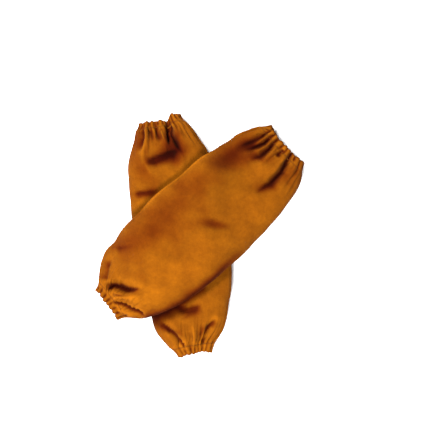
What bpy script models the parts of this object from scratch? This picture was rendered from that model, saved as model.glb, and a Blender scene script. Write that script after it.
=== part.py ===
"""A pair of elasticated split-leather arm sleeves, laid crossed with one sleeve over the other.

Run it with: blender --background --python part.py

Each sleeve is one leather panel wrapped into a tube. A lengthwise seam joins its two long edges, with the
seam allowances turned inside. Both ends are folded inwards into a casing that holds a loop of woven elastic,
and a row of thread closes each casing.

Every sleeve is modelled in its own frame: +X runs from the wrist to the upper arm, +Y is across it, +Z is up,
and the origin is the middle of its length on the table. An empty places each sleeve in the pair.
"""

import math
from dataclasses import dataclass

import bmesh
import bpy
from mathutils import Vector

# --- Driving dimensions, in metres ---
SLEEVE_LENGTH = 0.445
LEATHER = 0.0013
ELASTIC = 0.0010
ELASTIC_WIDTH = 0.008
TACK = 0.0005
THREAD_RADIUS = 0.0004
CLEARANCE = 0.0006

HEM_DEPTH = 0.0185
HEM_ROW = 0.0168
PAST_HEM = 0.006
CUFF_LIFT = 0.003
SEAM_ALLOWANCE = 0.008
SEAM_ROW = 0.0055
SEAM_GAP = 0.0004
SEAM_THREAD_GAP = 0.0008

# Section shape at the cuffs and at the belly: exponents of the superellipse, the height of its widest line
# as a share of the whole height, and how far its lower half would reach if the table did not flatten it.
SIDE_POWER = (4.6, 2.3)
TOP_POWER = (2.0, 2.1)
UNDERSIDE_POWER = (2.0, 3.0)
WAIST_SHARE = (0.50, 0.45)
FLATTENED = (1.0, 1.12)

# How full the sleeve stays towards its ends, and how suddenly it flares out of a casing.
BELLY_POWER = 2.8
FLARE_POWER = 0.62

# The over sleeve presses the under sleeve down and hangs over its edges.
SQUEEZE_SHARE = 0.37
SQUEEZE_FULL = 0.075
SQUEEZE_END = 0.125
DRAPE_FULL = 0.060
DRAPE_END = 0.145
FLOOR_CLEARANCE = 0.001

RING_POINTS = 30
OUTLINE_POINTS = 240
BODY_RINGS = 15
FOLD_STEPS = 4
LAP_STEPS = 3
TACK_ZIGS = 5
TACK_MARGIN = 0.15
TACK_SIDES = (0.25, 0.75)

# --- What follows from them ---
# Insets are measured from the grain side of the outer wall towards the middle of the tube.
ELASTIC_INSET = LEATHER + CLEARANCE
LAP_INSET = ELASTIC_INSET + ELASTIC + CLEARANCE
TACK_INSET = LAP_INSET + ELASTIC + CLEARANCE
PLY_INSET = TACK_INSET + TACK + CLEARANCE + LEATHER
STITCHED_INSET = 2 * LEATHER + 2 * CLEARANCE
FOLD_RADIUS = PLY_INSET / 2
ELASTIC_START = FOLD_RADIUS + CLEARANCE
ELASTIC_END = ELASTIC_START + ELASTIC_WIDTH
LAP_AT = RING_POINTS // 2


@dataclass
class Sleeve:
    """One sleeve as it lies: where it is, which way it points, and how wide and high it puffs up."""

    name: str
    centre: Vector
    heading: float
    wrist_half_width: float
    arm_half_width: float
    belly_half_width: float
    cuff_height: float
    belly_height: float
    bow: float
    seam_turn: float

    def to_pair(self, x, y):
        """A point of this sleeve's frame in the pair's frame, seen from above."""
        c, s = math.cos(self.heading), math.sin(self.heading)
        return Vector((self.centre.x + x * c - y * s, self.centre.y + x * s + y * c))

    def across(self, point):
        """How far a point of the pair's frame lies from this sleeve's centre line."""
        c, s = math.cos(self.heading), math.sin(self.heading)
        return abs(-(point.x - self.centre.x) * s + (point.y - self.centre.y) * c)


OVER = Sleeve(
    name="over",
    centre=Vector((-0.0037, 0.0184)),
    heading=math.radians(41.6),
    wrist_half_width=0.033,
    arm_half_width=0.044,
    belly_half_width=0.095,
    cuff_height=0.034,
    belly_height=0.044,
    bow=-0.004,
    seam_turn=math.radians(14),
)
UNDER = Sleeve(
    name="under",
    centre=Vector((-0.0419, -0.0008)),
    heading=math.radians(98.6),
    wrist_half_width=0.030,
    arm_half_width=0.041,
    belly_half_width=0.087,
    cuff_height=0.034,
    belly_height=0.054,
    bow=-0.007,
    seam_turn=math.radians(164),
)


def smooth_step(low, high, value):
    t = min(1.0, max(0.0, (value - low) / (high - low)))
    return t * t * (3 - 2 * t)


def signed_power(value, power):
    return math.copysign(abs(value) ** power, value)


# --- The shape of a laid sleeve ---
def belly_share(along):
    """0 along each casing, rising to 1 at the middle of the sleeve."""
    reach = SLEEVE_LENGTH / 2 - HEM_DEPTH
    out = min(1.0, abs(along - SLEEVE_LENGTH / 2) / reach)
    return (1 - out**BELLY_POWER) ** FLARE_POWER


def half_width(sleeve, along):
    cuff = sleeve.wrist_half_width + (sleeve.arm_half_width - sleeve.wrist_half_width) * along / SLEEVE_LENGTH
    return cuff + (sleeve.belly_half_width - cuff) * belly_share(along)


def lift_at(sleeve, place):
    """At a place: the share of its height that the sleeve keeps, and how far it is raised off the table."""
    if sleeve is UNDER:
        return 1 - SQUEEZE_SHARE * (1 - smooth_step(SQUEEZE_FULL, SQUEEZE_END, OVER.across(place))), 0.0
    crest = UNDER.belly_height * (1 - SQUEEZE_SHARE) + 2 * CLEARANCE
    fall = smooth_step(DRAPE_FULL, DRAPE_END, UNDER.across(place))
    return 1.0, crest + (FLOOR_CLEARANCE - crest) * fall


def outline(sleeve, along):
    """Points round the tube at a place along it, in the sleeve's frame, starting at the seam."""
    belly = belly_share(along)

    def at_belly(cuff_and_belly):
        return cuff_and_belly[0] + (cuff_and_belly[1] - cuff_and_belly[0]) * belly

    height = sleeve.cuff_height + (sleeve.belly_height - sleeve.cuff_height) * belly
    waist = height * at_belly(WAIST_SHARE)
    points = []
    for i in range(OUTLINE_POINTS):
        turn = sleeve.seam_turn + 2 * math.pi * i / OUTLINE_POINTS
        side = half_width(sleeve, along) * signed_power(math.cos(turn), 2 / at_belly(SIDE_POWER))
        rise = math.sin(turn)
        if rise >= 0:
            up = waist + (height - waist) * rise ** (2 / at_belly(TOP_POWER))
        else:
            up = max(0.0, waist * (1 - at_belly(FLATTENED) * (-rise) ** (2 / at_belly(UNDERSIDE_POWER))))
        x = along - SLEEVE_LENGTH / 2
        y = side + sleeve.bow * belly
        keep, raised = lift_at(sleeve, sleeve.to_pair(x, y))
        points.append(Vector((x, y, up * keep + CUFF_LIFT * (1 - belly) ** 2 + raised)))
    return points


def ring(sleeve, along, inset=0.0):
    """Points spaced evenly round the outline, from one edge of the seam to the other, each moved inwards."""
    points = outline(sleeve, along)
    points.append(points[0])
    reached = [0.0]
    for one, two in zip(points, points[1:]):
        reached.append(reached[-1] + (two - one).length)
    length = reached[-1]

    def point_at(distance):
        distance %= length
        i = next(i for i in range(OUTLINE_POINTS) if reached[i + 1] >= distance)
        return points[i].lerp(points[i + 1], (distance - reached[i]) / (reached[i + 1] - reached[i]))

    made = []
    for i in range(RING_POINTS):
        distance = SEAM_GAP / 2 + (length - SEAM_GAP) * i / (RING_POINTS - 1)
        reach = length / RING_POINTS / 2
        tangent = (point_at(distance + reach) - point_at(distance - reach)).normalized()
        inwards = Vector((0.0, -tangent.z, tangent.y))
        made.append(point_at(distance) + inwards * inset)
    return made


def between(points, index):
    """The point of a ring at an index that may lie between two of its points."""
    first = min(int(index), len(points) - 2)
    return points[first].lerp(points[first + 1], index - first)


def inwards_at_seam(sleeve, along):
    return (ring(sleeve, along, 1.0)[-1] - ring(sleeve, along)[-1]).normalized()


def from_end(end, distance):
    """Distance along the sleeve from its wrist edge, for a distance in from the named end."""
    return distance if end == "wrist" else SLEEVE_LENGTH - distance


# --- Blender helpers ---
def clear_scene():
    for obj in list(bpy.data.objects):
        bpy.data.objects.remove(obj, do_unlink=True)


def make_material(name, colour, roughness):
    material = bpy.data.materials.new(name)
    material.use_nodes = True
    shader = material.node_tree.nodes["Principled BSDF"]
    shader.inputs["Base Color"].default_value = (*colour, 1.0)
    shader.inputs["Roughness"].default_value = roughness
    shader.inputs["Metallic"].default_value = 0.0
    return material


def add_object(name, data, material, parent, collection):
    data.materials.append(material)
    obj = bpy.data.objects.new(name, data)
    collection.objects.link(obj)
    obj.parent = parent
    return obj


def strip_mesh(name, rows):
    """An open sheet through rows of points. A row may be shorter than its neighbour, equally at each end."""
    mesh = bmesh.new()
    made = [[mesh.verts.new(p) for p in row] for row in rows]
    for one, two in zip(made, made[1:]):
        count = min(len(one), len(two))
        a = one[(len(one) - count) // 2 :][:count]
        b = two[(len(two) - count) // 2 :][:count]
        for i in range(count - 1):
            mesh.faces.new((a[i], a[i + 1], b[i + 1], b[i]))
    data = bpy.data.meshes.new(name)
    mesh.to_mesh(data)
    mesh.free()
    return data


def thicken(obj, thickness, offset):
    solidify = obj.modifiers.new("Thickness", "SOLIDIFY")
    solidify.thickness = thickness
    solidify.offset = offset
    solidify.use_even_offset = True
    obj.data.shade_smooth()
    return obj


def thread_curve(name, points, cyclic):
    curve = bpy.data.curves.new(name, "CURVE")
    curve.dimensions = "3D"
    curve.bevel_depth = THREAD_RADIUS
    curve.bevel_resolution = 0
    curve.use_fill_caps = not cyclic
    spline = curve.splines.new("POLY")
    spline.points.add(len(points) - 1)
    for target, point in zip(spline.points, points):
        target.co = (*point, 1.0)
    spline.use_cyclic_u = cyclic
    return curve


# --- The pieces of a sleeve ---
def hem_profile():
    """(distance from the end, inset) down the inner ply of a hem, round its fold and onto the outer wall."""
    ply = [
        (HEM_DEPTH, STITCHED_INSET),
        (HEM_ROW - 2 * THREAD_RADIUS, STITCHED_INSET),
        (ELASTIC_END + LEATHER + CLEARANCE, PLY_INSET),
    ]
    fold = []
    for i in range(FOLD_STEPS + 1):
        t = math.pi * (1 - i / FOLD_STEPS)
        fold.append((FOLD_RADIUS * (1 - math.sin(t)), FOLD_RADIUS * (1 - math.cos(t))))
    return ply + fold + [(ELASTIC_END, 0.0), (HEM_DEPTH, 0.0)]


def body_stations():
    """Places along the outer wall between the two hems, closer together near the cuffs."""
    first, last = HEM_DEPTH + PAST_HEM, SLEEVE_LENGTH - HEM_DEPTH - PAST_HEM
    shares = [(1 - math.cos(math.pi * i / (BODY_RINGS - 1))) / 2 for i in range(BODY_RINGS)]
    return [first + (last - first) * share for share in shares]


def leather_panel(sleeve, material, parent, collection):
    """The whole panel: the wrist hem, the tube with its seam allowances, and the upper arm hem."""
    profile = hem_profile()
    rows = [ring(sleeve, from_end("wrist", distance), inset) for distance, inset in profile]
    for along in body_stations():
        row = ring(sleeve, along)
        allowance = inwards_at_seam(sleeve, along) * SEAM_ALLOWANCE
        rows.append([row[0] + allowance] + row + [row[-1] + allowance])
    rows += [ring(sleeve, from_end("arm", distance), inset) for distance, inset in reversed(profile)]
    name = f"{sleeve.name}_leather_panel"
    panel = add_object(name, strip_mesh(name, rows), material, parent, collection)
    return thicken(panel, LEATHER, offset=-1.0)


def elastic_path():
    """(ring index, inset) round an elastic loop, whose last stretch laps inside its own start."""
    loop = [(i, ELASTIC_INSET) for i in range(LAP_AT, RING_POINTS - 1)]
    loop += [(i, ELASTIC_INSET) for i in range(LAP_AT)]
    return loop + [(i, LAP_INSET) for i in range(LAP_AT, LAP_AT + LAP_STEPS + 1)]


def casing_strip(sleeve, end, name, path):
    """An open strip in a casing, through (ring index, inset, near edge, far edge), facing out of the tube."""
    rows = []
    for index, inset, near, far in path:
        edges = [between(ring(sleeve, from_end(end, distance), inset), index) for distance in (near, far)]
        rows.append(edges if end == "arm" else edges[::-1])
    return strip_mesh(name, rows)


def elastic_loop(sleeve, end, material, parent, collection):
    name = f"{sleeve.name}_{end}_elastic"
    path = [(index, inset, ELASTIC_START, ELASTIC_END) for index, inset in elastic_path()]
    band = add_object(name, casing_strip(sleeve, end, name, path), material, parent, collection)
    return thicken(band, ELASTIC, offset=-1.0)


def lap_tack(sleeve, end, material, parent, collection):
    """The flat zigzag of thread that sews the two ends of the elastic together."""
    name = f"{sleeve.name}_{end}_elastic_tack"
    path = []
    for i in range(TACK_ZIGS + 1):
        middle = ELASTIC_START + ELASTIC_WIDTH * TACK_SIDES[i % 2]
        share = TACK_MARGIN + (1 - 2 * TACK_MARGIN) * i / TACK_ZIGS
        index = LAP_AT + LAP_STEPS * share
        path.append((index, TACK_INSET, middle - TACK, middle + TACK))
    tack = add_object(name, casing_strip(sleeve, end, name, path), material, parent, collection)
    return thicken(tack, TACK, offset=-1.0)


def hem_thread(sleeve, end, material, parent, collection):
    """The row of thread that closes a casing, lying on the grain side."""
    name = f"{sleeve.name}_{end}_hem_thread"
    points = ring(sleeve, from_end(end, HEM_ROW), -(CLEARANCE + THREAD_RADIUS))[:-1]
    return add_object(name, thread_curve(name, points, cyclic=True), material, parent, collection)


def seam_thread(sleeve, material, parent, collection):
    """The row of thread through both seam allowances, lying on one of them inside the tube."""
    name = f"{sleeve.name}_seam_thread"
    points = []
    for along in body_stations():
        row = ring(sleeve, along)
        inwards = inwards_at_seam(sleeve, along)
        off_allowance = Vector((0.0, -inwards.z, inwards.y)) * (LEATHER + SEAM_THREAD_GAP + THREAD_RADIUS)
        points.append(row[-1] + inwards * SEAM_ROW + off_allowance)
    return add_object(name, thread_curve(name, points, cyclic=False), material, parent, collection)


def build_sleeve(sleeve, materials, collection):
    place = bpy.data.objects.new(f"{sleeve.name}_sleeve_place", None)
    collection.objects.link(place)
    place.location = (*sleeve.centre, 0.0)
    place.rotation_euler = (0.0, 0.0, sleeve.heading)
    leather_panel(sleeve, materials["leather"], place, collection)
    seam_thread(sleeve, materials["thread"], place, collection)
    for end in ("wrist", "arm"):
        elastic_loop(sleeve, end, materials["elastic"], place, collection)
        lap_tack(sleeve, end, materials["thread"], place, collection)
        hem_thread(sleeve, end, materials["thread"], place, collection)


def build():
    clear_scene()
    collection = bpy.data.collections.new("leather_sleeve_pair")
    bpy.context.scene.collection.children.link(collection)
    materials = {
        "leather": make_material("golden_split_leather", (0.55, 0.21, 0.02), 0.9),
        "elastic": make_material("woven_elastic", (0.80, 0.76, 0.66), 0.8),
        "thread": make_material("tan_thread", (0.62, 0.33, 0.07), 0.6),
    }
    for sleeve in (UNDER, OVER):
        build_sleeve(sleeve, materials, collection)


build()
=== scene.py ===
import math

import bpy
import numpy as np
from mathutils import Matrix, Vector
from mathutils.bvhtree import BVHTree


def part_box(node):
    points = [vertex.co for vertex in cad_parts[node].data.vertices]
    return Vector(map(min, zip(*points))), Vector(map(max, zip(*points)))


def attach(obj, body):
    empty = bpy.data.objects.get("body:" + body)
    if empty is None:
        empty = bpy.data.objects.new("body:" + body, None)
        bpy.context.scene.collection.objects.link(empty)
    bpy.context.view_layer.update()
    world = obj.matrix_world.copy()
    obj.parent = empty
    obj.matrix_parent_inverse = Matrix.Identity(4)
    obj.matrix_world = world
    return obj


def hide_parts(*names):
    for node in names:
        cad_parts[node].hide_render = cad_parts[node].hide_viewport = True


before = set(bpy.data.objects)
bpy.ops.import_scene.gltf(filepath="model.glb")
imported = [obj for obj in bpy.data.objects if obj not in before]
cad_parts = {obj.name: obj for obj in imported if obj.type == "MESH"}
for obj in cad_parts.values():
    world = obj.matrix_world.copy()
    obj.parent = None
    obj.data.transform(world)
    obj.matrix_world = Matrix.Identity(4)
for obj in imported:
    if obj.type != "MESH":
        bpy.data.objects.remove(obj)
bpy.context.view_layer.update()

# The looks of a pair of gathered suede arm sleeves, built around the imported CAD model.
#
# A sleeve's leather is a grid of points. Its rows run round the tube, and its columns run along it, with
# the first column on the seam. The smooth wall is read from the CAD panel. Gathers and folds then press it
# in, a cloth simulation lets the leather settle, and the hems, elastics and threads are built from the
# result. Lengths are in metres, apart from the listed tables, which say that they are in millimetres.

MM = 0.001

# --- Leather and hems ---
LEATHER = 1.3 * MM
HEM_DEPTH = 18 * MM
HEM_ROW = 15.5 * MM
# From the wall's outer side to the turned-in ply's, in the casing and where the hem is sewn down.
PLY_INSET = 6.6 * MM
STITCHED_INSET = 3.0 * MM
FOLD_RADIUS = PLY_INSET / 2
FOLD_ROWS = 6
# How far the turned-in ply follows the gathers, how far they scallop the edge, and the least that it rolls.
PLY_FOLLOWS = 0.85
SCALLOP = 0.55
EDGE_ROLL = 1.9 * MM
# Where the leather is free of the casing again.
FREE_FROM = HEM_DEPTH + 8 * MM

# --- Lengthwise seam ---
SEAM_FROM_EDGE = 3 * MM
SEAM_ALLOWANCE = 8.0 * MM
SEAM_ROW = 5.5 * MM
SEAM_FROM_HEM = 2 * MM
ALLOWANCE_TOP = LEATHER * 0.9
ALLOWANCE_ROWS = 5
ALLOWANCE_GAP = 0.15 * MM
SEAM_BLUR = 4
# (depth, width) of the groove, and (height, distance from the seam, width) of the leather rolling into it.
SEAM_GROOVE = (1.4 * MM, 1.3 * MM)
SEAM_ROLL = (0.5 * MM, 4 * MM, 2.2 * MM)

# --- Elastic ---
ELASTIC = 1.0 * MM
ELASTIC_INSET = 2.2 * MM
ELASTIC_REACH = (3.6 * MM, 11.6 * MM)
ELASTIC_FOLLOWS = 0.93
ELASTIC_ROWS = 5
# The elastic goes round the cuff and on over its own start. To lap there it steps inwards between two
# places, counted in columns back from the full turn.
LAP_COLUMNS = 22
LAP_INSET = 1.1 * MM
LAP_TUCK = (14, 2)
ZIGZAG_POINTS = 13
ZIGZAG_MARGIN = 3
ZIGZAG_SIDES = (0.75, 0.25)

# --- Thread ---
THREAD_RADIUS = 0.38 * MM
THREAD_SIDES = 6
STITCH_PITCH = 4.2 * MM
# A stitch takes this share of its pitch. It runs through five places, so many thread radii up.
STITCH_SHARE = 0.78
STITCH_PLACES = (0, 0.12, 0.5, 0.88, 1)
STITCH_LIFTS = (-0.5, 0.7, 1.1, 0.7, -0.5)
# No thread runs along this direction.
ASIDE = (0.31, 0.17, 0.93)

# --- How a sleeve lies ---
FLOOR_GAP = 0.4 * MM
SLEEVE_GAP = 0.5 * MM
# The underside is where a normal's z is less than this.
UNDERSIDE = 0.3
RAISE_BLUR = (6, 6)
ABOVE_ALL = 1.0

# --- How finely a sleeve is modelled, and how its wall is read ---
COLUMNS = 264
NEAR_STEP = 1.7 * MM
FAR_STEP = 3.4 * MM
NEAR_CUFF = 42 * MM
OUTLINE_RAYS = 360
SECTION_FLATNESS = 0.35
CENTRING_ROUNDS = 3
BELOW_TOP = 5 * MM
FAR = 0.5
NUDGE = Vector((0.00007, 0.00003, 0.00005))
# How many times a grid is evened out, from row to row and from column to column.
WALL_BLUR = (8, 4)
NORMALS_BLUR = (2, 1)
EDGE_BLUR = 6
# The upper side fades in between these two values of a normal's z.
UPPER_SIDE = (-0.15, 0.25)


def smooth(low, high, value):
    t = np.clip((value - low) / (high - low), 0, 1)
    return t * t * (3 - 2 * t)


def unit(vectors):
    return vectors / np.linalg.norm(vectors, axis=-1, keepdims=True)


def blur_rows(grid, times):
    """Evens out a grid from row to row, keeping its first and last rows."""
    grid = grid.copy()
    for _ in range(times):
        grid[1:-1] = (grid[:-2] + 2 * grid[1:-1] + grid[2:]) / 4
    return grid


def blur_columns(grid, times):
    for _ in range(times):
        grid = (np.roll(grid, 1, axis=1) + 2 * grid + np.roll(grid, -1, axis=1)) / 4
    return grid


def blur(grid, rows, columns):
    return blur_columns(blur_rows(grid, rows), columns)


def even_loop(points, count, start):
    """count points spaced evenly round the closed loop through points, from a place between two of them."""
    closed = np.vstack([points, points[:1]])
    reached = np.concatenate([[0], np.cumsum(np.linalg.norm(np.diff(closed, axis=0), axis=1))])
    first = np.interp(start, np.arange(len(closed)), reached)
    wanted = (np.arange(count) / count * reached[-1] + first) % reached[-1]
    return np.stack([np.interp(wanted, reached, closed[:, k]) for k in range(3)], axis=1)


def normals_of(grid):
    """Normals of a grid that is closed round its columns, pointing to the grain side."""
    along = np.gradient(grid, axis=0)
    round_it = np.roll(grid, -1, axis=1) - np.roll(grid, 1, axis=1)
    return unit(np.cross(round_it, along))


# --- The smooth wall, from the CAD panel ---
# How the sleeves narrow to their cuffs: (distance from the edge, half the width, shift to the left).
# And how far an edge goes past a straight cut or falls short of it: (place across the sleeve, reach).
# All in millimetres.
FLARES = {
    ("over", "wrist"): [
        (0, 34, 0), (12, 39, -1), (22, 48, -2), (32, 59, -1), (42, 66, 1), (62, 77, 3), (92, 84, 1),
    ],
    ("over", "arm"): [(0, 45, 0), (9, 52, 0), (27, 65, 0), (45, 73, 0), (67, 81, 0), (78, 81, 0)],
    ("under", "wrist"): [
        (0, 30, 0), (12, 38, 0), (22, 44, 1), (32, 53, 2), (42, 61, 3), (62, 71, 4), (110, 80, 0),
    ],
    ("under", "arm"): [(0, 38, 0), (15, 45, 0), (30, 51, 0), (60, 64, 0), (78, 71, 0)],
}
EDGES = {
    ("over", "wrist"): [(-36, 6), (-24, 3), (-8, 1), (10, 2), (24, -1), (36, 0)],
    ("over", "arm"): [(-46, 0), (-22, -2), (4, -4), (16, -5), (28, -2), (46, 1)],
    ("under", "wrist"): [(-32, 1), (-10, 0), (12, -1), (22, 2), (32, 3)],
    ("under", "arm"): [(-40, -2), (-22, 2), (-14, -12), (-6, -9), (12, -8), (40, -8)],
}
# Over what length a flare blends into the CAD outline, and over what length an edge's reach fades.
FLARE_BLEND = 26 * MM
EDGE_FADE = 34 * MM


class Sleeve:
    """A CAD panel in its own frame: x runs from the wrist to the upper arm, y to its left, and z up."""

    def __init__(self, name):
        self.name = name
        self.body = f"{name}_sleeve"
        wrist = sum(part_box(f"{name}_wrist_elastic"), Vector()) / 2
        arm = sum(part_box(f"{name}_arm_elastic"), Vector()) / 2
        along = (arm - wrist).to_2d().normalized()
        self.axes = np.array([[along.x, along.y, 0], [-along.y, along.x, 0], [0, 0, 1]])
        middle = (wrist + arm) / 2
        self.origin = np.array([middle.x, middle.y, 0])
        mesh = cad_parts[f"{name}_leather_panel"].data
        points = self.to_own(np.array([v.co for v in mesh.vertices]))
        self.panel = BVHTree.FromPolygons(points.tolist(), [tuple(p.vertices) for p in mesh.polygons])
        self.start, self.end = points[:, 0].min(), points[:, 0].max()
        thread = self.to_own(np.array([v.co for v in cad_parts[f"{name}_seam_thread"].data.vertices]))
        self.seam_side = math.copysign(1, thread[np.argmin(abs(thread[:, 0])), 1])
        self.measure_wall()

    def to_own(self, points):
        return (points - self.origin) @ self.axes.T

    def to_pair(self, points):
        return points @ self.axes + self.origin

    def reach(self, centre, out):
        """Where the panel's outer side lies in a direction out from a point inside the tube."""
        start = centre + out * FAR
        found = self.panel.ray_cast(start, -out)[0]
        while (found - centre).dot(out) < 0:  # the ray slipped between two faces
            start += NUDGE
            found = self.panel.ray_cast(start, -out)[0]
        return found

    def outline(self, x):
        """Evenly spaced points round the panel's outer side at x, starting at the seam."""
        top = self.panel.ray_cast(Vector((x, 0, FAR)), Vector((0, 0, -1)))[0]
        centre = top - Vector((0, 0, BELOW_TOP))
        for _ in range(CENTRING_ROUNDS):
            centre.z = sum(self.reach(centre, Vector((0, 0, side))).z for side in (-1, 1)) / 2
            centre.y = sum(self.reach(centre, Vector((0, side, 0))).y for side in (-1, 1)) / 2
        loop = []
        for i in range(OUTLINE_RAYS):
            turn = 2 * math.pi * i / OUTLINE_RAYS
            out = Vector((0, self.seam_side * math.cos(turn), SECTION_FLATNESS * math.sin(turn)))
            loop.append(self.reach(centre, out.normalized()))
        side = self.seam_side * np.array(loop)[:, 1]
        widest = int(side.argmax())
        loop, side = np.roll(loop, -widest, axis=0), np.roll(side, -widest)
        seam = side[0] - SEAM_FROM_EDGE
        after = int(np.argmax(side < seam))
        loop = even_loop(loop, COLUMNS, after - (seam - side[after]) / (side[after - 1] - side[after]))
        if self.seam_side < 0:
            loop = np.roll(loop[::-1], 1, axis=0)
        return loop

    def stations(self):
        """Places of the wall's rows along the sleeve, closer together near both cuffs."""
        near = np.arange(FOLD_RADIUS, NEAR_CUFF, NEAR_STEP)
        count = 2 * round((self.end - self.start - 2 * NEAR_CUFF) / FAR_STEP / 2)
        middle = np.linspace(self.start + NEAR_CUFF, self.end - NEAR_CUFF, count + 1)
        return np.concatenate([self.start + near, middle, (self.end - near)[::-1]])

    def measure_wall(self):
        self.x = self.stations()
        self.from_edge = {"wrist": self.x - self.start, "arm": self.end - self.x}
        self.from_cuffs = np.minimum(self.from_edge["wrist"], self.from_edge["arm"])
        straight = (self.start + HEM_DEPTH / 2, self.end - HEM_DEPTH / 2)
        wall = []
        for x in self.x:
            loop = self.outline(min(max(x, straight[0]), straight[1]))
            loop[:, 0] = x
            middle = (loop[:, 1].max() + loop[:, 1].min()) / 2
            half = (loop[:, 1].max() - loop[:, 1].min()) / 2
            for end in ("wrist", "arm"):
                distance = self.from_edge[end][len(wall)]
                places, widths, shifts = np.array(FLARES[self.name, end]).T * MM
                keep = smooth(places[-1] - FLARE_BLEND, places[-1], distance)
                wanted = keep * half + (1 - keep) * np.interp(distance, places, widths)
                shift = (1 - keep) * np.interp(distance, places, shifts)
                loop[:, 1] = middle + shift + (loop[:, 1] - middle) * wanted / half
            wall.append(loop)
        self.wall = blur(np.array(wall), *WALL_BLUR)
        for end, outwards in (("wrist", -1), ("arm", 1)):
            places, reaches = np.array(EDGES[self.name, end]).T * MM
            reach = np.interp(self.wall[:, :, 1], places, reaches)
            fade = 1 - smooth(0, EDGE_FADE, self.from_edge[end])[:, None]
            self.wall[:, :, 0] += outwards * blur_columns(reach, EDGE_BLUR) * fade
        self.normals = normals_of(self.wall)
        self.round = np.linalg.norm(np.roll(self.wall, -1, axis=1) - self.wall, axis=2).sum(1)
        self.share = np.arange(COLUMNS) / COLUMNS
        self.upper = smooth(*UPPER_SIDE, self.normals[:, :, 2])


# --- Gathers, folds and dents, as a height above the smooth wall ---
# The power that shapes a valley's sides: 1 would be a sharp crease, and 2 a round one.
SHARPNESS = 1.5
# A gather's depth, its width at the edge, and how fast it widens.
GATHER_DEPTH = 4.8 * MM
GATHER_WIDTH = 2.4 * MM
GATHER_WIDENS = 0.075
# How much of the depth it has at the edge, and how far in it has all of it.
GATHER_AT_EDGE = 0.75
GATHER_DEEPENS = 8 * MM
# The share of its reach from which it fades, the power that makes most of them short, how far it wanders
# as a share of a turn, and how far in it has done so.
GATHER_FADES = 0.35
MOSTLY_SHORT = 2.8
GATHER_SWAY = 0.02
SWAY_REACH = 80 * MM
# How much the gaps between them and their depths vary.
GATHER_GAPS = (0.7, 1.3)
GATHER_DEPTHS = (0.6, 1.25)


def turns_between(share, other):
    return (share - other + 0.5) % 1 - 0.5


def gathers(sleeve, distance, count, shortest, longest, rng):
    """Valleys that run in from a cuff. Most are short, and a few run on into the sleeve."""
    gaps = rng.uniform(*GATHER_GAPS, count)
    places = np.cumsum(gaps) / gaps.sum()
    height = np.zeros(sleeve.wall.shape[:2])
    fade_in = GATHER_AT_EDGE + (1 - GATHER_AT_EDGE) * smooth(0, GATHER_DEEPENS, distance)
    width = (GATHER_WIDTH + GATHER_WIDENS * distance)[:, None]
    for place in places:
        reach = (shortest + (longest - shortest) * rng.uniform() ** MOSTLY_SHORT) * MM
        depth = GATHER_DEPTH * rng.uniform(*GATHER_DEPTHS)
        here = place + rng.normal(0, GATHER_SWAY) * smooth(0, SWAY_REACH, distance)
        off = turns_between(sleeve.share[None, :], here[:, None]) * sleeve.round[:, None]
        fade = fade_in * (1 - smooth(GATHER_FADES * reach, reach, distance))
        height -= (depth * fade)[:, None] * np.exp(-np.abs(off / width) ** SHARPNESS)
    return height


def along_path(points, x, y):
    """(signed distance to the left of a path, share of the way along it) for points seen from above."""
    path = np.array(points, float) * MM
    lengths = np.linalg.norm(np.diff(path, axis=0), axis=1)
    reached = np.concatenate([[0], np.cumsum(lengths)])
    best = np.full(x.shape, np.inf)
    side = np.ones(x.shape)
    share = np.zeros(x.shape)
    for a, b, start, length in zip(path, path[1:], reached, lengths):
        step = (b - a) / length
        t = np.clip(((x - a[0]) * step[0] + (y - a[1]) * step[1]) / length, 0, 1)
        away_x, away_y = x - a[0] - t * (b[0] - a[0]), y - a[1] - t * (b[1] - a[1])
        off = np.hypot(away_x, away_y)
        nearer = off < best
        best = np.where(nearer, off, best)
        side = np.where(nearer, np.sign(step[0] * (y - a[1]) - step[1] * (x - a[0])), side)
        share = np.where(nearer, (start + t * length) / reached[-1], share)
    return best * side, share


def fold(sleeve, path, left, right, ends=(0.15, 0.5), grow=1.6):
    """A streak on the upper side along a path seen from above, from 1 in its middle to 0.

    left and right are how far it spreads to the two sides of the path, all in millimetres. It fades over
    the first and last shares of its length in ends, and is grow times as wide at its end as at its start.
    """
    off, share = along_path(path, sleeve.wall[:, :, 0], sleeve.wall[:, :, 1])
    wide = np.where(off > 0, left, right) * MM * (1 + (grow - 1) * share)
    rise = smooth(0, ends[0], share) if ends[0] else 1.0
    fall = 1 - smooth(1 - ends[1], 1, share) if ends[1] else 1.0
    return rise * fall * np.exp(-(np.abs(off / wide) ** SHARPNESS)) * sleeve.upper


def patch(sleeve, x, y, length, width, turn=0):
    """A soft-edged oval on the upper side, from 1 in its middle to 0, with sizes in millimetres."""
    turn = math.radians(turn)
    dx, dy = sleeve.wall[:, :, 0] - x * MM, sleeve.wall[:, :, 1] - y * MM
    a = (dx * math.cos(turn) + dy * math.sin(turn)) / (length * MM)
    b = (-dx * math.sin(turn) + dy * math.cos(turn)) / (width * MM)
    return np.exp(-(a * a + b * b)) * sleeve.upper


# Soft undulation all over the tube: (number of waves, their size, their height).
WAVES = [(9, 0.11, 1.2 * MM), (9, 0.045, 0.3 * MM)]
# How many times a wave rises along its size, and the angle that it starts at.
WAVE_PITCHES = (0.4, 1.3)
WAVE_STARTS = (0, 7)
# About how far it is round a sleeve.
GIRTH = 0.4


def waves(sleeve, rng, count, size, height):
    """The sum of some random sine waves that run round and along the tube."""
    total = np.zeros(sleeve.wall.shape[:2])
    turns = 2 * math.pi * sleeve.share[None, :]
    x = sleeve.x[:, None]
    for _ in range(count):
        cycles = rng.integers(0, max(2, round(GIRTH / size)) + 1)
        pitch = rng.uniform(*WAVE_PITCHES) / size * rng.choice((-1, 1))
        total += np.sin(cycles * turns + 2 * math.pi * pitch * x + rng.uniform(*WAVE_STARTS))
    return height * total / math.sqrt(count)


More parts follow.
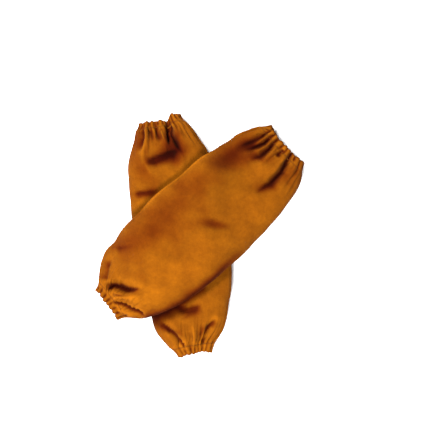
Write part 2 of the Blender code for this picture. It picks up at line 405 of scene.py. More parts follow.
# Valleys (< 0) and ridges (> 0), with their heights, and dents, with their depths. In millimetres.
FOLDS = {
    "over": [
        # wrist: the deep eye-shaped dent beside the cuff, the lip below it and the long crease to the edge
        (-15, dict(path=[(-208, 20), (-197, 17), (-187, 8), (-178, -4), (-168, -12), (-152, -20)],
                   left=7, right=3, ends=(0.15, 0.5), grow=1.2)),
        (4, dict(path=[(-198, 8), (-189, 0), (-181, -9), (-173, -14)], left=2.5, right=2.5, grow=1)),
        (6, dict(path=[(-208, 2), (-194, -6), (-180, -19), (-160, -32)], left=4, right=8)),
        (-7, dict(path=[(-212, -3), (-201, -18), (-191, -39), (-182, -62)],
                  left=2.4, right=4, ends=(0.1, 0.2), grow=1)),
        (3.5, dict(path=[(-216, -20), (-205, -33), (-195, -52)], left=3, right=4)),
        (-4, dict(path=[(-160, 61), (-178, 50), (-197, 31)], left=4, right=6, ends=(0.4, 0.2))),
        (-1.5, dict(path=[(-144, 66), (-130, 57), (-104, 40)], left=5, right=10, ends=(0.2, 0.7))),
        # upper arm: ridges and valleys that fan out from the dip in the cuff, and the wide one beside them
        (-13, dict(path=[(222, 43), (198, 44), (176, 50), (145, 58)],
                   left=6, right=4, ends=(0, 0.5), grow=2)),
        (5, dict(path=[(220, 38), (196, 37), (172, 42)], left=3, right=3, ends=(0, 0.5), grow=1.4)),
        (-13, dict(path=[(222, 30), (192, 31), (170, 39), (152, 48)],
                   left=5, right=4, ends=(0, 0.5), grow=1.8)),
        (5, dict(path=[(220, 25), (192, 24), (175, 28), (160, 38)],
                 left=3, right=3, ends=(0, 0.5), grow=1.4)),
        (-13, dict(path=[(222, 20), (192, 17), (170, 17), (148, 25)],
                   left=5, right=4, ends=(0, 0.5), grow=1.8)),
        (4, dict(path=[(216, 15), (192, 9), (164, 6)], left=2.5, right=5, ends=(0.1, 0.5), grow=2)),
        (-6, dict(path=[(212, -3), (190, -3)], left=4, right=4, ends=(0.2, 0.4), grow=1)),
        (-15, dict(path=[(222, -17), (200, -23), (180, -31), (150, -34), (112, -28)],
                   left=5, right=3.5, ends=(0, 0.4), grow=2.4)),
    ],
    "under": [
        # upper arm: the long ridge on the left, the notch in the cuff, its pleats and the hollow below them
        (5, dict(path=[(212, 25), (182, 28), (160, 38), (124, 44)], left=4, right=4, ends=(0, 0.5))),
        (-6, dict(path=[(214, 33), (186, 34), (156, 46)], left=5, right=4, ends=(0, 0.6))),
        (-13, dict(path=[(220, -11), (198, -13), (176, -12), (156, -8)],
                   left=4, right=3.5, ends=(0, 0.4))),
        (5, dict(path=[(196, -2), (178, -4), (158, -13)], left=3, right=3, ends=(0.2, 0.4))),
        (-9, dict(path=[(212, -18), (184, -19), (160, -27), (138, -36)],
                  left=4, right=3, ends=(0, 0.5))),
        (-8, dict(path=[(214, 8), (192, 8), (170, 2)], left=4, right=3, ends=(0, 0.6))),
        (-6, dict(path=[(210, 18), (190, 17), (172, 15)], left=3, right=3, ends=(0, 0.6))),
        (-15, dict(path=[(135, 38), (144, 16), (149, -8), (150, -32)],
                   left=7, right=14, ends=(0.3, 0.25))),
        (-6, dict(path=[(86, 70), (82, 44), (83, 18)], left=6, right=9, ends=(0.3, 0.4))),
        # wrist: a wide dent, a crease on either side of the middle ridge, and the ridge
        (-8, dict(path=[(-130, 28), (-140, 0), (-136, -30)], left=6, right=11, ends=(0.4, 0.4))),
        (-8, dict(path=[(-152, 56), (-176, 34), (-204, 18)], left=4, right=8, ends=(0.4, 0), grow=0.6)),
        (-9, dict(path=[(-162, -50), (-178, -33), (-202, -17)],
                  left=8, right=4, ends=(0.4, 0), grow=0.6)),
        (4, dict(path=[(-156, -6), (-189, -4), (-220, 1)], left=6, right=6, ends=(0.5, 0), grow=0.6)),
    ],
}
DENTS = {
    "over": [
        (6, dict(x=122, y=50, length=30, width=18, turn=-25)),
        (4, dict(x=26, y=-24, length=26, width=10, turn=-50)),
    ],
    "under": [],
}
# How many gathers a cuff has, and how far the shortest and the longest of them run, in millimetres.
GATHERS = {
    ("over", "wrist"): (20, 15, 28),
    ("over", "arm"): (20, 16, 40),
    ("under", "wrist"): (22, 20, 75),
    ("under", "arm"): (24, 16, 60),
}
SEEDS = {"under": 11, "over": 5}
# How much of a fold's depth is left at the edge of a cuff, where the elastic holds the leather.
CASING_HOLDS = 0.5
# How far the cuffs swell, and how deep and wide the thread of a hem draws the leather in.
CUFF_PUFF = 1.8 * MM
CUFF_PUFF_REACH = 45 * MM
ROW_DEPTH = 0.6 * MM
ROW_WIDTH = 1.3 * MM


def height_of(sleeve):
    """How far the leather stands out from the smooth wall before it settles."""
    rng = np.random.default_rng(SEEDS[sleeve.name])
    height = sum(waves(sleeve, rng, *wave) for wave in WAVES)
    for end in ("wrist", "arm"):
        distance = sleeve.from_edge[end]
        height += gathers(sleeve, distance, *GATHERS[sleeve.name, end], rng)
        row = np.exp(-(((distance - HEM_ROW) / ROW_WIDTH) ** 2))
        puff = CUFF_PUFF * (1 - smooth(0, CUFF_PUFF_REACH, distance))
        height += (puff - ROW_DEPTH * row)[:, None]
    free = smooth(ELASTIC_REACH[0], FREE_FROM, sleeve.from_cuffs[:, None])
    held = CASING_HOLDS + (1 - CASING_HOLDS) * free
    for rise, streak in FOLDS[sleeve.name]:
        height += rise * MM * fold(sleeve, **streak) * held
    for depth, oval in DENTS[sleeve.name]:
        height -= depth * MM * patch(sleeve, **oval)
    return height


def seam_height(sleeve):
    """The groove where the two long edges meet, and the leather rolling into it."""
    off = turns_between(sleeve.share[None, :], 0.0) * sleeve.round[:, None]
    depth, width = SEAM_GROOVE
    groove = -depth * np.exp(-((off / width) ** 2))
    height, place, width = SEAM_ROLL
    roll = height * np.exp(-(((abs(off) - place) / width) ** 2))
    return (groove + roll) * smooth(HEM_DEPTH, FREE_FROM, sleeve.from_cuffs)[:, None]


# --- Settling the leather: a cloth simulation on every second row and column of the grid ---
SETTLE_STEPS = 80
SETTLE_ROUNDS = 4
SETTLE_CAP = 6 * MM
MOMENTUM = 0.6
# How far a step blows the leather outwards.
PUFF = 0.003 * MM
# From the edge, where the leather begins to move and where it moves freely.
PINNED = (14 * MM, 22 * MM)
# How much of the panel's spare width at a cuff is let in, and where this begins and ends.
FULLNESS = 0.45
GATHERED_IN = (8 * MM, 24 * MM)
GATHERED_OUT = (40 * MM, 85 * MM)
STRETCH = 0.8
SHEAR = 0.15
# Leather resists folding tightly: (points apart, share of its flat length that a stretch may close up to).
BENDS = [(2, 0.985), (4, 0.94)]
BEND_STRENGTH = 0.6
TINY = 1e-9


def gap_to(points, shift):
    """From each point to the point a shift of (rows, columns) from it: (vectors, lengths)."""
    gap = np.roll(points, (-shift[0], -shift[1]), axis=(0, 1)) - points
    return gap, np.linalg.norm(gap, axis=2, keepdims=True)


def pull(points, give, shift, rest, strength, only_push=False):
    """Draws each point, and the point a shift of (rows, columns) from it, towards their rest distance."""
    gap, length = gap_to(points, shift)
    excess = length - rest
    if only_push:
        excess = np.minimum(excess, 0)
    step = gap * (strength / 2 * excess / length)
    if shift[0]:
        step[-shift[0] :] = 0
    points += (step - np.roll(step, shift, axis=(0, 1))) * give


def settle(sleeve, wall):
    """Lets the leather that the elastic gathers find its own folds, and returns the settled wall.

    The panel is cut as wide at the cuffs as at the belly. The hems are pinned, and the folds that are
    already there grow, shrink and draw their neighbours along until that width has found room.
    """
    start = wall[::2, ::2]
    near = sleeve.from_cuffs[::2, None, None]
    gathered = (sleeve.round.max() / sleeve.round[::2, None, None] - 1) * FULLNESS
    wider = 1 + gathered * smooth(*GATHERED_IN, near) * (1 - smooth(*GATHERED_OUT, near))
    ties = []
    for shift, strength, longer in (
        ((1, 0), STRETCH, 1.0),
        ((0, 1), STRETCH, wider),
        ((1, 1), SHEAR, wider**0.5),
        ((1, -1), SHEAR, wider**0.5),
    ):
        ties.append((shift, gap_to(start, shift)[1] * longer, strength))
    bends = []
    for stride, share in BENDS:
        for shift, next_to in (((0, stride), (0, 1)), ((stride, 0), (1, 0))):
            straight = gap_to(start, next_to)[1] * stride * share
            bends.append((shift, np.minimum(gap_to(start, shift)[1], straight)))
    give = smooth(*PINNED, near)
    push = sleeve.normals[::2, ::2] * PUFF * give
    points, before = start.copy(), start.copy()
    for _ in range(SETTLE_STEPS):
        points, before = points + (points - before) * MOMENTUM * give + push, points.copy()
        for _ in range(SETTLE_ROUNDS):
            for shift, rest, strength in ties:
                pull(points, give, shift, rest, strength)
            for shift, rest in bends:
                pull(points, give, shift, rest, BEND_STRENGTH, only_push=True)
        moved = points - start
        far = np.linalg.norm(moved, axis=2, keepdims=True)
        points = start + moved * np.minimum(1, SETTLE_CAP / np.maximum(far, TINY))
        points[:, :, 2] = np.maximum(points[:, :, 2], FLOOR_GAP)
    return wall + finer(points - start)


def finer(coarse):
    """The same field with every second row and column filled in."""
    columns = np.empty((coarse.shape[0], 2 * coarse.shape[1], 3))
    columns[:, ::2] = coarse
    columns[:, 1::2] = (coarse + np.roll(coarse, -1, axis=1)) / 2
    rows = np.empty((2 * coarse.shape[0] - 1, columns.shape[1], 3))
    rows[::2] = columns
    rows[1::2] = (columns[:-1] + columns[1:]) / 2
    return blur(rows, 1, 1)


def rest_on(sleeve, wall, below):
    """Raises a wall to lie on the floor, and just clear of the sleeve below it."""
    pair = sleeve.to_pair(wall)
    needed = np.full(wall.shape[:2], FLOOR_GAP)
    if below:
        tree = BVHTree.FromPolygons(below[0].tolist(), below[1])
        for r, c in np.argwhere(sleeve.normals[:, :, 2] < UNDERSIDE):
            hit = tree.ray_cast(Vector((*pair[r, c, :2], ABOVE_ALL)), Vector((0, 0, -1)))[0]
            if hit:
                needed[r, c] = hit.z + SLEEVE_GAP
    raised = np.maximum(0, needed - wall[:, :, 2])
    raised = np.maximum(raised, blur(raised, *RAISE_BLUR))
    wall[:, :, 2] += raised
    return wall


# --- Meshes ---
def grid_faces(rows, columns, start=0, closed=False, flip=False):
    """The four-sided faces of a grid of points, which may be closed round its columns."""
    faces = []
    for r in range(rows - 1):
        for c in range(columns if closed else columns - 1):
            a, b = start + r * columns + c, start + r * columns + (c + 1) % columns
            face = (a, b, b + columns, a + columns)
            faces.append(face[::-1] if flip else face)
    return faces


def shell(outer, inner, closed):
    """Points and faces of the solid between two grids, which are closed round their columns or open."""
    rows, columns = outer.shape[:2]
    count = rows * columns
    faces = grid_faces(rows, columns, 0, closed) + grid_faces(rows, columns, count, closed, flip=True)
    last = (rows - 1) * columns
    for c in range(columns if closed else columns - 1):
        d = (c + 1) % columns
        faces += [(d, c, c + count, d + count), (last + c, last + d, last + d + count, last + c + count)]
    if not closed:
        for r in range(rows - 1):
            a, b = r * columns, (r + 1) * columns
            faces.append((a, b, b + count, a + count))
            a, b = a + columns - 1, b + columns - 1
            faces.append((b, a, a + count, b + count))
    return np.vstack([outer.reshape(-1, 3), inner.reshape(-1, 3)]), faces


def thread_along(path):
    """Points and faces of a thread along a path."""
    path = np.array(path)
    along = unit(np.gradient(path, axis=0))
    across = unit(np.cross(along, ASIDE))
    other = np.cross(along, across)
    turn = 2 * math.pi * np.arange(THREAD_SIDES)[:, None] / THREAD_SIDES
    out = across[:, None] * np.cos(turn) + other[:, None] * np.sin(turn)
    rings = path[:, None] + THREAD_RADIUS * out
    count = len(path) * THREAD_SIDES
    faces = grid_faces(len(path), THREAD_SIDES, closed=True)
    faces += [tuple(range(THREAD_SIDES))[::-1], tuple(range(count - THREAD_SIDES, count))]
    return rings.reshape(-1, 3), faces


def add_object(name, data):
    item = bpy.data.objects.new(name, data)
    bpy.context.scene.collection.objects.link(item)
    return item


def add_piece(name, sleeve, parts, material, replaced=None):
    """One object from one or more (points, faces), riding on its sleeve's body."""
    points, faces = [], []
    for part_points, part_faces in parts:
        offset = sum(len(p) for p in points)
        points.append(part_points)
        faces += [tuple(i + offset for i in face) for face in part_faces]
    mesh = bpy.data.meshes.new(name)
    mesh.from_pydata(sleeve.to_pair(np.vstack(points)).tolist(), [], faces)
    mesh.shade_smooth()
    mesh.materials.append(material)
    piece = add_object(name, mesh)
    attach(piece, sleeve.body)
    if replaced:
        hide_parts(replaced)
    return piece


# --- The pieces of a sleeve ---
def ring_at(sleeve, grid, end, distance):
    """A ring of a wall-sized grid, at a distance in from the cuff's edge."""
    from_edge = sleeve.from_edge[end]
    order = np.argsort(from_edge)
    place = np.interp(distance, from_edge[order], np.arange(len(order)))
    low = min(int(place), len(order) - 2)
    share = place - low
    return grid[order[low]] * (1 - share) + grid[order[low + 1]] * share


def hem_rows(sleeve, wall, end):
    """The turned-in hem, from its cut edge to the cuff's: its points, and where its grain side faces."""
    outwards = -1 if end == "wrist" else 1
    axis = np.array([outwards, 0, 0])
    moved = wall - sleeve.wall
    points, facing = [], []
    from_edge = sleeve.from_edge[end]
    for i in sorted(np.nonzero(from_edge <= HEM_DEPTH)[0], key=lambda i: -from_edge[i]):
        stitched = smooth(ELASTIC_REACH[1], HEM_ROW - MM, from_edge[i])
        inset = PLY_INSET + (STITCHED_INSET - PLY_INSET) * stitched
        points.append(sleeve.wall[i] - sleeve.normals[i] * inset + PLY_FOLLOWS * moved[i])
        facing.append(-sleeve.normals[i])
    edge = 0 if end == "wrist" else -1
    normals = unit(sleeve.normals[edge] * [0, 1, 1])
    lift = np.sum(moved[edge] * normals, axis=1)
    for step in range(1, FOLD_ROWS):
        turn = math.pi * step / FOLD_ROWS
        follows = PLY_FOLLOWS + (1 - PLY_FOLLOWS) * (1 - math.cos(turn)) / 2
        point = sleeve.wall[edge] - normals * FOLD_RADIUS * (1 + math.cos(turn)) + follows * moved[edge]
        reach = np.maximum(FOLD_RADIUS + SCALLOP * lift, EDGE_ROLL) * math.sin(turn)
        points.append(point + axis * reach[:, None])
        facing.append(-normals * math.cos(turn) + axis * math.sin(turn))
    return points, facing


def leather_panel(sleeve, wall, height, material):
    """The panel with both hems turned in."""
    normals = blur(sleeve.normals, *NORMALS_BLUR)
    wrist, arm = hem_rows(sleeve, wall, "wrist"), hem_rows(sleeve, wall, "arm")
    outer = np.array(wrist[0] + list(wall) + arm[0][::-1])
    facing = np.array(wrist[1] + list(normals) + arm[1][::-1])
    solid = shell(outer, outer - unit(facing) * LEATHER, closed=True)
    name = f"{sleeve.name}_leather"
    panel = add_piece(name, sleeve, [solid], material, f"{name}_panel")
    paint_shade_and_tone(panel.data, sleeve, height, len(wrist[0]), len(arm[0]))
    return panel


# Painted shade down in a crease and a painted highlight on a ridge, how much darker and paler: (height of a
# full change, limits, blur).
CREASE_SHADING = [(5 * MM, (-0.40, 0.14), (14, 14)), (2.0 * MM, (-0.36, 0.32), (4, 4))]
# The tone of the turned-in hems, the painted shade on the underside, and the two values of a normal's z
# between which the underside's painted shade gives way to the upper side.
HEM_TONE = 0.9
SIDE_SHADE = 0.7
SIDES = (-0.05, 0.5)
# How much more green changes than red, and blue than green, where the painted shade and light and the tone
# patches make the leather paler and darker.
PALER_HUE = 0.12
DARKER_HUE = 0.8
# Painted shade and light, darker (< 0) or paler (> 0), partly for where light falls and shade gathers on
# the sleeves and partly tone that differs from place to place: soft ovals, and streaks. In millimetres.
SHADE_AND_TONE_PATCHES = {
    "over": [
        (-0.28, dict(x=0, y=54, length=150, width=28)),
        (-0.24, dict(x=-80, y=40, length=42, width=18)),
        (-0.28, dict(x=-116, y=62, length=26, width=15, turn=-24)),
        (-0.20, dict(x=0, y=-4, length=50, width=16, turn=-30)),
        (-0.66, dict(x=152, y=53, length=36, width=15, turn=-8)),
        (-0.30, dict(x=138, y=36, length=20, width=14)),
        (-0.22, dict(x=112, y=52, length=26, width=18)),
        (-0.40, dict(x=158, y=25, length=17, width=11, turn=-10)),
        (-0.30, dict(x=160, y=-36, length=30, width=10)),
        (-0.25, dict(x=198, y=-46, length=30, width=14)),
        (-0.25, dict(x=180, y=4, length=12, width=8)),
        (0.26, dict(x=10, y=-62, length=110, width=24)),
        (0.20, dict(x=68, y=-14, length=32, width=40)),
        (0.20, dict(x=-90, y=-34, length=50, width=26)),
        (0.16, dict(x=130, y=0, length=36, width=12, turn=-14)),
        (0.26, dict(x=-165, y=-32, length=34, width=16, turn=-25)),
        (0.16, dict(x=-165, y=52, length=34, width=20, turn=30)),
        (0.14, dict(x=-208, y=0, length=14, width=34)),
    ],
    "under": [
        (-0.60, dict(x=148, y=4, length=14, width=30, turn=8)),
        (-0.70, dict(x=160, y=-15, length=26, width=22, turn=10)),
        (-0.50, dict(x=168, y=-24, length=28, width=10, turn=14)),
        (-0.40, dict(x=182, y=46, length=32, width=11, turn=-14)),
        (-0.34, dict(x=86, y=38, length=13, width=26)),
        (-0.26, dict(x=116, y=30, length=26, width=26)),
        (-0.34, dict(x=138, y=-20, length=20, width=16)),
        (-0.26, dict(x=188, y=16, length=24, width=14)),
        (-0.30, dict(x=180, y=-29, length=14, width=6)),
        (0.30, dict(x=180, y=-52, length=34, width=9, turn=18)),
        (-0.45, dict(x=-150, y=58, length=13, width=20)),
        (0.12, dict(x=-175, y=-62, length=50, width=20)),
        (0.12, dict(x=-205, y=20, length=20, width=40)),
    ],
}
# Streaks of painted shade down the creases and where one sleeve shades the other, and of painted light
# along edges.
LIGHT_AND_SHADE_STREAKS = {
    "over": [
        (-0.60, dict(path=[(-207, 20), (-197, 17), (-187, 8), (-178, -4), (-168, -12), (-152, -20)],
                     left=5, right=3.5, ends=(0.1, 0.55), grow=1.4)),
        (-0.35, dict(path=[(-196, 2), (-188, -6), (-178, -15), (-168, -19)],
                     left=2.5, right=2.5, ends=(0.2, 0.4))),
        (-0.25, dict(path=[(-210, -4), (-200, -20), (-190, -41), (-183, -60)],
                     left=3, right=3, ends=(0.1, 0.2), grow=1)),
        (-0.30, dict(path=[(-202, 37), (-186, 45), (-172, 55), (-150, 60)],
                     left=5, right=6, ends=(0.2, 0.5))),
        (-0.30, dict(path=[(-148, 74), (-134, 61), (-104, 42)], left=5, right=7, ends=(0.05, 0.7))),
        (-0.50, dict(path=[(220, 43), (198, 44), (176, 50), (140, 58)],
                     left=6, right=4, ends=(0.3, 0.4))),
        (-0.60, dict(path=[(220, 30), (192, 31), (170, 40), (145, 50)],
                     left=6, right=5, ends=(0.3, 0.4))),
        (-0.62, dict(path=[(220, 20), (192, 17), (170, 18), (146, 27)],
                     left=6, right=5, ends=(0.3, 0.4))),
        (-0.50, dict(path=[(212, -3), (188, -4)], left=5, right=5, ends=(0.2, 0.3), grow=1)),
        (-0.60, dict(path=[(220, -17), (200, -22), (180, -30), (150, -34), (104, -27)],
                     left=6, right=5, ends=(0, 0.5), grow=2.2)),
        # a painted highlight along the upper edge, and painted shade along the lower edge
        (0.60, dict(path=[(-70, 84), (-30, 88), (30, 89), (80, 86), (125, 79)],
                    left=9, right=4, ends=(0.2, 0.2), grow=1)),
        (-0.75, dict(path=[(-192, -62), (-172, -72), (-150, -80), (-110, -90), (-40, -94), (60, -90)],
                     left=9, right=12, ends=(0.05, 0.4), grow=0.7)),
    ],
    "under": [
        (-0.45, dict(path=[(218, -11), (198, -12), (176, -11), (150, -8)],
                     left=6, right=5, ends=(0.3, 0.4))),
        (-0.45, dict(path=[(210, -18), (184, -19), (160, -27), (134, -38)],
                     left=3, right=3, ends=(0, 0.3))),
        (-0.40, dict(path=[(210, 33), (186, 34), (156, 44)], left=5, right=4, ends=(0, 0.5))),
        (-0.30, dict(path=[(210, 8), (192, 8), (170, 2)], left=4, right=3, ends=(0, 0.5))),
        # along the edges of the over sleeve: painted light that lifts the shadow it casts on one side, and
        # a painted shadow on the other
        (0.50, dict(path=[(78, 20), (100, -10), (120, -36), (143, -68)],
                    left=10, right=8, ends=(0.1, 0.1), grow=1)),
        (-0.84, dict(path=[(-146, 78), (-139, 40), (-124, 4), (-101, -42)],
                     left=14, right=9, ends=(0.02, 0.1), grow=0.75)),
        # wrist
        (-0.45, dict(path=[(-158, 62), (-170, 42), (-180, 22), (-192, 14)],
                     left=4, right=4, ends=(0.2, 0.3))),
        (-0.40, dict(path=[(-194, -11), (-182, -22), (-174, -38)],
                     left=4, right=4, ends=(0.2, 0.3), grow=1.6)),
        (-0.35, dict(path=[(-156, 20), (-151, 0), (-144, -16), (-130, -22)],
                     left=7, right=5, ends=(0.3, 0.3))),
    ],
}


def paint_shade_and_tone(mesh, sleeve, height, wrist_rows, arm_rows):
    """Colours each point of a panel with painted shade and light: darker down in a crease, paler on a
    ridge, darker on the sides that turn down, and in soft patches and streaks of painted shade and light
    that also hold some tone of its own.
    """
    tone = np.ones(height.shape)
    for full, limits, width in CREASE_SHADING:
        tone *= 1 + np.clip((height - blur(height, *width)) / full, *limits)
    for gain, oval in SHADE_AND_TONE_PATCHES[sleeve.name]:
        tone *= 1 + gain * patch(sleeve, **oval)
    for gain, streak in LIGHT_AND_SHADE_STREAKS[sleeve.name]:
        tone *= 1 + gain * fold(sleeve, **streak)
    # painted shade on the sides that turn down towards the floor
    tone *= SIDE_SHADE + (1 - SIDE_SHADE) * smooth(*SIDES, sleeve.normals[:, :, 2])
    wrist_hem, arm_hem = (np.full((count, COLUMNS), HEM_TONE) for count in (wrist_rows, arm_rows))
    grain_side = np.concatenate([wrist_hem, tone, arm_hem]).ravel()
    shade = np.concatenate([grain_side, grain_side])
    hue = np.where(shade > 1, PALER_HUE, DARKER_HUE)
    colours = np.stack([shade, shade ** (1 + hue), shade ** (1 + 2 * hue), np.ones_like(shade)], axis=1)
    # the painted shade and light, kept as a colour on each point
    layer = mesh.color_attributes.new("painted_shade_and_tone", "FLOAT_COLOR", "POINT")
    layer.data.foreach_set("color", colours.ravel().astype(np.float32))


def elastic_at(sleeve, wall, end, distance, inset):
    """A ring inside the casing that follows its gathers."""
    smooth_ring = ring_at(sleeve, sleeve.wall, end, distance)
    moved = ring_at(sleeve, wall, end, distance) - smooth_ring
    return smooth_ring - ring_at(sleeve, sleeve.normals, end, distance) * inset + ELASTIC_FOLLOWS * moved


def elastic_loop(sleeve, wall, end, materials):
    """The woven elastic in a casing. Its two ends lap where the CAD's tack sews them together."""
    name = f"{sleeve.name}_{end}_elastic"
    near, far = ELASTIC_REACH
    tack = sleeve.to_own(np.array([sum(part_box(f"{name}_tack"), Vector()) / 2]))[0]
    from_tack = np.linalg.norm(ring_at(sleeve, sleeve.wall, end, near) - tack, axis=1)
    start = int(np.argmin(from_tack)) - LAP_COLUMNS // 2
    count = COLUMNS + LAP_COLUMNS
    places = (np.arange(count) + start) % COLUMNS
    lapped = LAP_INSET * smooth(*(COLUMNS - tuck for tuck in LAP_TUCK), np.arange(count))[:, None]
    normals = ring_at(sleeve, sleeve.normals, end, near)[places]
    sides = []
    for inset in (ELASTIC_INSET, ELASTIC_INSET + ELASTIC):
        rows = []
        for distance in np.linspace(near, far, ELASTIC_ROWS):
            rows.append(elastic_at(sleeve, wall, end, distance, inset)[places] - normals * lapped)
        sides.append(np.array(rows if end == "wrist" else rows[::-1]))
    band = shell(*sides, closed=False)
    add_piece(f"{name}_band", sleeve, [band], materials["elastic"], name)

    zigzag = []
    on_lap = ELASTIC_INSET + ELASTIC + LAP_INSET + THREAD_RADIUS
    for i in range(ZIGZAG_POINTS):
        across = round((LAP_COLUMNS - 2 * ZIGZAG_MARGIN) * i / (ZIGZAG_POINTS - 1))
        column = (start + ZIGZAG_MARGIN + across) % COLUMNS
        distance = near + (far - near) * ZIGZAG_SIDES[i % 2]
        zigzag.append(elastic_at(sleeve, wall, end, distance, on_lap)[column])
    thread = thread_along(zigzag)
    add_piece(f"{name}_tack_thread", sleeve, [thread], materials["thread"], f"{name}_tack")


def stitches(path, out):
    """A row of stitches on a path: each rises out of the surface, runs on top of it and goes back in."""
    reached = np.concatenate([[0], np.cumsum(np.linalg.norm(np.diff(path, axis=0), axis=1))])
    count = int(reached[-1] / STITCH_PITCH)
    share = np.array(STITCH_PLACES) * STITCH_SHARE
    lift = np.array(STITCH_LIFTS)[:, None] * THREAD_RADIUS
    parts = []
    for i in range(count):
        places = (i + share) * reached[-1] / count
        point = np.stack([np.interp(places, reached, path[:, k]) for k in range(3)], axis=1)
        away = np.stack([np.interp(places, reached, out[:, k]) for k in range(3)], axis=1)
        parts.append(thread_along(point + away * lift))
    return parts


def hem_stitches(sleeve, wall, end, material):
    path = ring_at(sleeve, wall, end, HEM_ROW)
    out = ring_at(sleeve, normals_of(wall), end, HEM_ROW)
    row = stitches(np.vstack([path, path[:1]]), np.vstack([out, out[:1]]))
    name = f"{sleeve.name}_{end}_hem"
    return add_piece(f"{name}_stitches", sleeve, row, material, f"{name}_thread")


def seam_inside(sleeve, wall, materials):
    """The two seam allowances inside the tube, and the stitches through them."""
    rows = np.nonzero(sleeve.from_cuffs > HEM_DEPTH + SEAM_FROM_HEM)[0]
    root = wall[rows, 0]
    inwards = -unit(blur_rows(sleeve.normals[:, 0], SEAM_BLUR)[rows])
    across = unit(np.cross(inwards, [1, 0, 0]))
    depths = np.linspace(ALLOWANCE_TOP, LEATHER + SEAM_ALLOWANCE, ALLOWANCE_ROWS)
    allowances = []
    for side in (-1, 1):
        grids = []
        for off in (ALLOWANCE_GAP, ALLOWANCE_GAP + LEATHER):
            grids.append(np.array([root + inwards * depth + across * off * side for depth in depths]))
        allowances.append(shell(*grids[::side], closed=False))
    path = root + inwards * (LEATHER + SEAM_ROW) + across * (ALLOWANCE_GAP + LEATHER)
    row = stitches(path, across)
    name = f"{sleeve.name}_seam"
    return [
        add_piece(f"{name}_allowances", sleeve, allowances, materials["suede"]),
        add_piece(f"{name}_stitches", sleeve, row, materials["thread"], f"{name}_thread"),
    ]


def build_sleeve(name, materials, below):
    """Builds a sleeve's pieces. Returns its leather's points and faces, for the sleeve that lies on it."""
    sleeve = Sleeve(name)
    height = height_of(sleeve)
    wall = sleeve.wall + sleeve.normals * (height + seam_height(sleeve))[:, :, None]
    wall = settle(sleeve, wall)
    wall = rest_on(sleeve, wall, below)
    panel = leather_panel(sleeve, wall, height, materials["suede"])
    sewn_on = seam_inside(sleeve, wall, materials)
    for end in ("wrist", "arm"):
        elastic_loop(sleeve, wall, end, materials)
        sewn_on.append(hem_stitches(sleeve, wall, end, materials["thread"]))
    points = np.array([v.co for v in panel.data.vertices])
    return points, [tuple(p.vertices) for p in panel.data.polygons]


# --- Materials ---
def new_material(name):
    material = bpy.data.materials.new(name)
    material.use_nodes = True
    nodes = material.node_tree.nodes
    return material, nodes, material.node_tree.links, nodes["Principled BSDF"]


def set_inputs(node, values):
    for name, value in values.items():
        node.inputs[name].default_value = value


def noise_node(nodes, links, place, scale, detail, roughness):
    noise = nodes.new("ShaderNodeTexNoise")
    set_inputs(noise, {"Scale": scale, "Detail": detail, "Roughness": roughness})
    links.new(place, noise.inputs["Vector"])
    return noise.outputs["Fac"]


def ramp_node(nodes, links, value, low, high):
    """A colour ramp between two (place, colour) stops."""
    ramp = nodes.new("ShaderNodeValToRGB")
    for stop, (place, colour) in zip(ramp.color_ramp.elements, (low, high)):
        stop.position = place
        stop.color = (*colour, 1)
    links.new(value, ramp.inputs["Fac"])
    return ramp.outputs["Color"]


def multiply(nodes, links, share, a, b):
    """Colour a multiplied by colour b, to the given share."""
    mix = nodes.new("ShaderNodeMix")
    mix.data_type, mix.blend_type = "RGBA", "MULTIPLY"
    mix.inputs["Factor"].default_value = share
    # its two colours go in at 6 and 7, and the mixed one comes out at 2
    links.new(a, mix.inputs[6])
    links.new(b, mix.inputs[7])
    return mix.outputs[2]


def add_bump(nodes, links, shader, height, strength, distance):
    bump = nodes.new("ShaderNodeBump")
    set_inputs(bump, {"Strength": strength, "Distance": distance})
    links.new(height, bump.inputs["Height"])
    links.new(bump.outputs["Normal"], shader.inputs["Normal"])


# How much the mottle stands up, where the fibres stand up 1.
MOTTLE_RELIEF = 1.4


def suede():
    """Golden split suede: mottled and matt, with a fine nap, and with painted shade in its creases and
    painted highlights on its ridges.
    """
    material, nodes, links, shader = new_material("golden_suede")
    place = nodes.new("ShaderNodeTexCoord").outputs["Object"]
    patches = noise_node(nodes, links, place, scale=14, detail=4, roughness=0.55)
    mottle = noise_node(nodes, links, place, scale=110, detail=6, roughness=0.7)
    fibres = noise_node(nodes, links, place, scale=900, detail=4, roughness=0.7)
    dark, light = (0.124, 0.0325, 0.0008), (0.149, 0.0418, 0.0010)
    tone = ramp_node(nodes, links, patches, (0.30, dark), (0.70, light))
    speckle = ramp_node(nodes, links, mottle, (0.25, (0.82, 0.80, 0.77)), (0.75, (1.15, 1.17, 1.20)))
    nap = ramp_node(nodes, links, fibres, (0.25, (0.64, 0.60, 0.54)), (0.75, (1.27, 1.31, 1.38)))
    # the painted shade and light of each point, multiplied into the leather's colour
    painted_shade_and_tone = nodes.new("ShaderNodeAttribute")
    painted_shade_and_tone.attribute_name = "painted_shade_and_tone"
    for share, colour in ((1.0, speckle), (0.8, nap), (1.0, painted_shade_and_tone.outputs["Color"])):
        tone = multiply(nodes, links, share, tone, colour)
    links.new(tone, shader.inputs["Base Color"])
    set_inputs(shader, {
        "Roughness": 0.95,
        "Specular IOR Level": 0.03,
        "Sheen Weight": 0.03,
        "Sheen Roughness": 0.5,
        "Sheen Tint": (1.0, 0.5, 0.15, 1),
    })
    rough = nodes.new("ShaderNodeMath")
    rough.operation = "MULTIPLY_ADD"
    rough.inputs[1].default_value = MOTTLE_RELIEF
    links.new(mottle, rough.inputs[0])
    links.new(fibres, rough.inputs[2])
    add_bump(nodes, links, shader, rough.outputs[0], strength=0.6, distance=0.7 * MM)
    return material


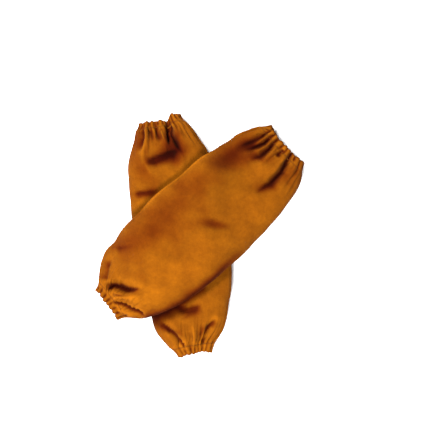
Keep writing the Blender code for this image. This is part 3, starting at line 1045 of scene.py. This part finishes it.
def ribbed_material(name, dark, light, scale, distortion, roughness, relief):
    """Fine parallel ribs, for woven elastic and twisted thread, with painted shade between the ribs and
    paler tops.
    """
    material, nodes, links, shader = new_material(name)
    place = nodes.new("ShaderNodeTexCoord").outputs["Object"]
    ribs = nodes.new("ShaderNodeTexWave")
    set_inputs(ribs, {"Scale": scale, "Distortion": distortion})
    links.new(place, ribs.inputs["Vector"])
    colour = ramp_node(nodes, links, ribs.outputs["Fac"], (0, dark), (1, light))
    links.new(colour, shader.inputs["Base Color"])
    set_inputs(shader, {"Roughness": roughness, "Specular IOR Level": 0.1})
    add_bump(nodes, links, shader, ribs.outputs["Fac"], strength=1.0, distance=relief)
    return material


# --- Light, floor and camera ---
PICTURE_WIDTH = 0.8288
PICTURE_CENTRE = Vector((0.0455, 0.0187, 0.030))
CAMERA_HEIGHT = 2.6
SENSOR = 36
FLOOR_HALF = 3.0
FLOOR_DROP = 0.5 * MM
SKY_STRENGTH = 0.34
# Both lamps are discs that point at the middle of the pair: (name, place, watts).
LAMPS = [("key", (-0.30, -1.15, 1.70), 92), ("fill", (-0.75, 0.85, 1.5), 70)]
LAMP_SIZE = 0.7
LIT_PLACE = Vector((0, 0, 0.03))


def add_lamp(name, place, watts):
    light = bpy.data.lights.new(name, "AREA")
    light.shape = "DISK"
    light.size = LAMP_SIZE
    light.energy = watts
    lamp = add_object(name, light)
    lamp.location = place
    lamp.rotation_euler = (LIT_PLACE - Vector(place)).to_track_quat("-Z", "Y").to_euler()


def add_floor():
    mesh = bpy.data.meshes.new("floor")
    corners = [(x * FLOOR_HALF, y * FLOOR_HALF, 0) for x, y in ((-1, -1), (1, -1), (1, 1), (-1, 1))]
    mesh.from_pydata(corners, [], [(0, 1, 2, 3)])
    floor = add_object("floor", mesh)
    floor.location.z = -FLOOR_DROP
    material, _, _, shader = new_material("pale_floor")
    set_inputs(shader, {"Base Color": (0.95, 0.95, 0.95, 1), "Roughness": 0.9})
    mesh.materials.append(material)


def add_studio():
    add_floor()
    scene = bpy.context.scene
    scene.world = bpy.data.worlds.new("studio")
    scene.world.use_nodes = True
    set_inputs(scene.world.node_tree.nodes["Background"], {"Color": (1, 1, 1, 1), "Strength": SKY_STRENGTH})
    for lamp in LAMPS:
        add_lamp(*lamp)
    scene.view_settings.view_transform = "Standard"

    lens = bpy.data.cameras.new("camera")
    lens.sensor_width = SENSOR
    lens.lens = SENSOR * (CAMERA_HEIGHT - PICTURE_CENTRE.z) / PICTURE_WIDTH
    camera = add_object("camera", lens)
    camera.location = (PICTURE_CENTRE.x, PICTURE_CENTRE.y, CAMERA_HEIGHT)
    scene.camera = camera


# --- Everything together ---
# The colours between the ribs and on top of them: painted shade in the grooves, and paler on the ribs.
THREAD_COLOURS = (0.11, 0.030, 0.002), (0.19, 0.056, 0.004)
ELASTIC_COLOURS = (0.6, 0.56, 0.47), (0.86, 0.82, 0.72)


def build():
    materials = {
        "suede": suede(),
        "thread": ribbed_material(
            "tan_thread", *THREAD_COLOURS, scale=900, distortion=2, roughness=0.9, relief=0.2 * MM,
        ),
        "elastic": ribbed_material(
            "woven_elastic", *ELASTIC_COLOURS, scale=350, distortion=0.6, roughness=0.85, relief=0.3 * MM,
        ),
    }
    below = build_sleeve("under", materials, None)
    build_sleeve("over", materials, below)
    add_studio()


build()
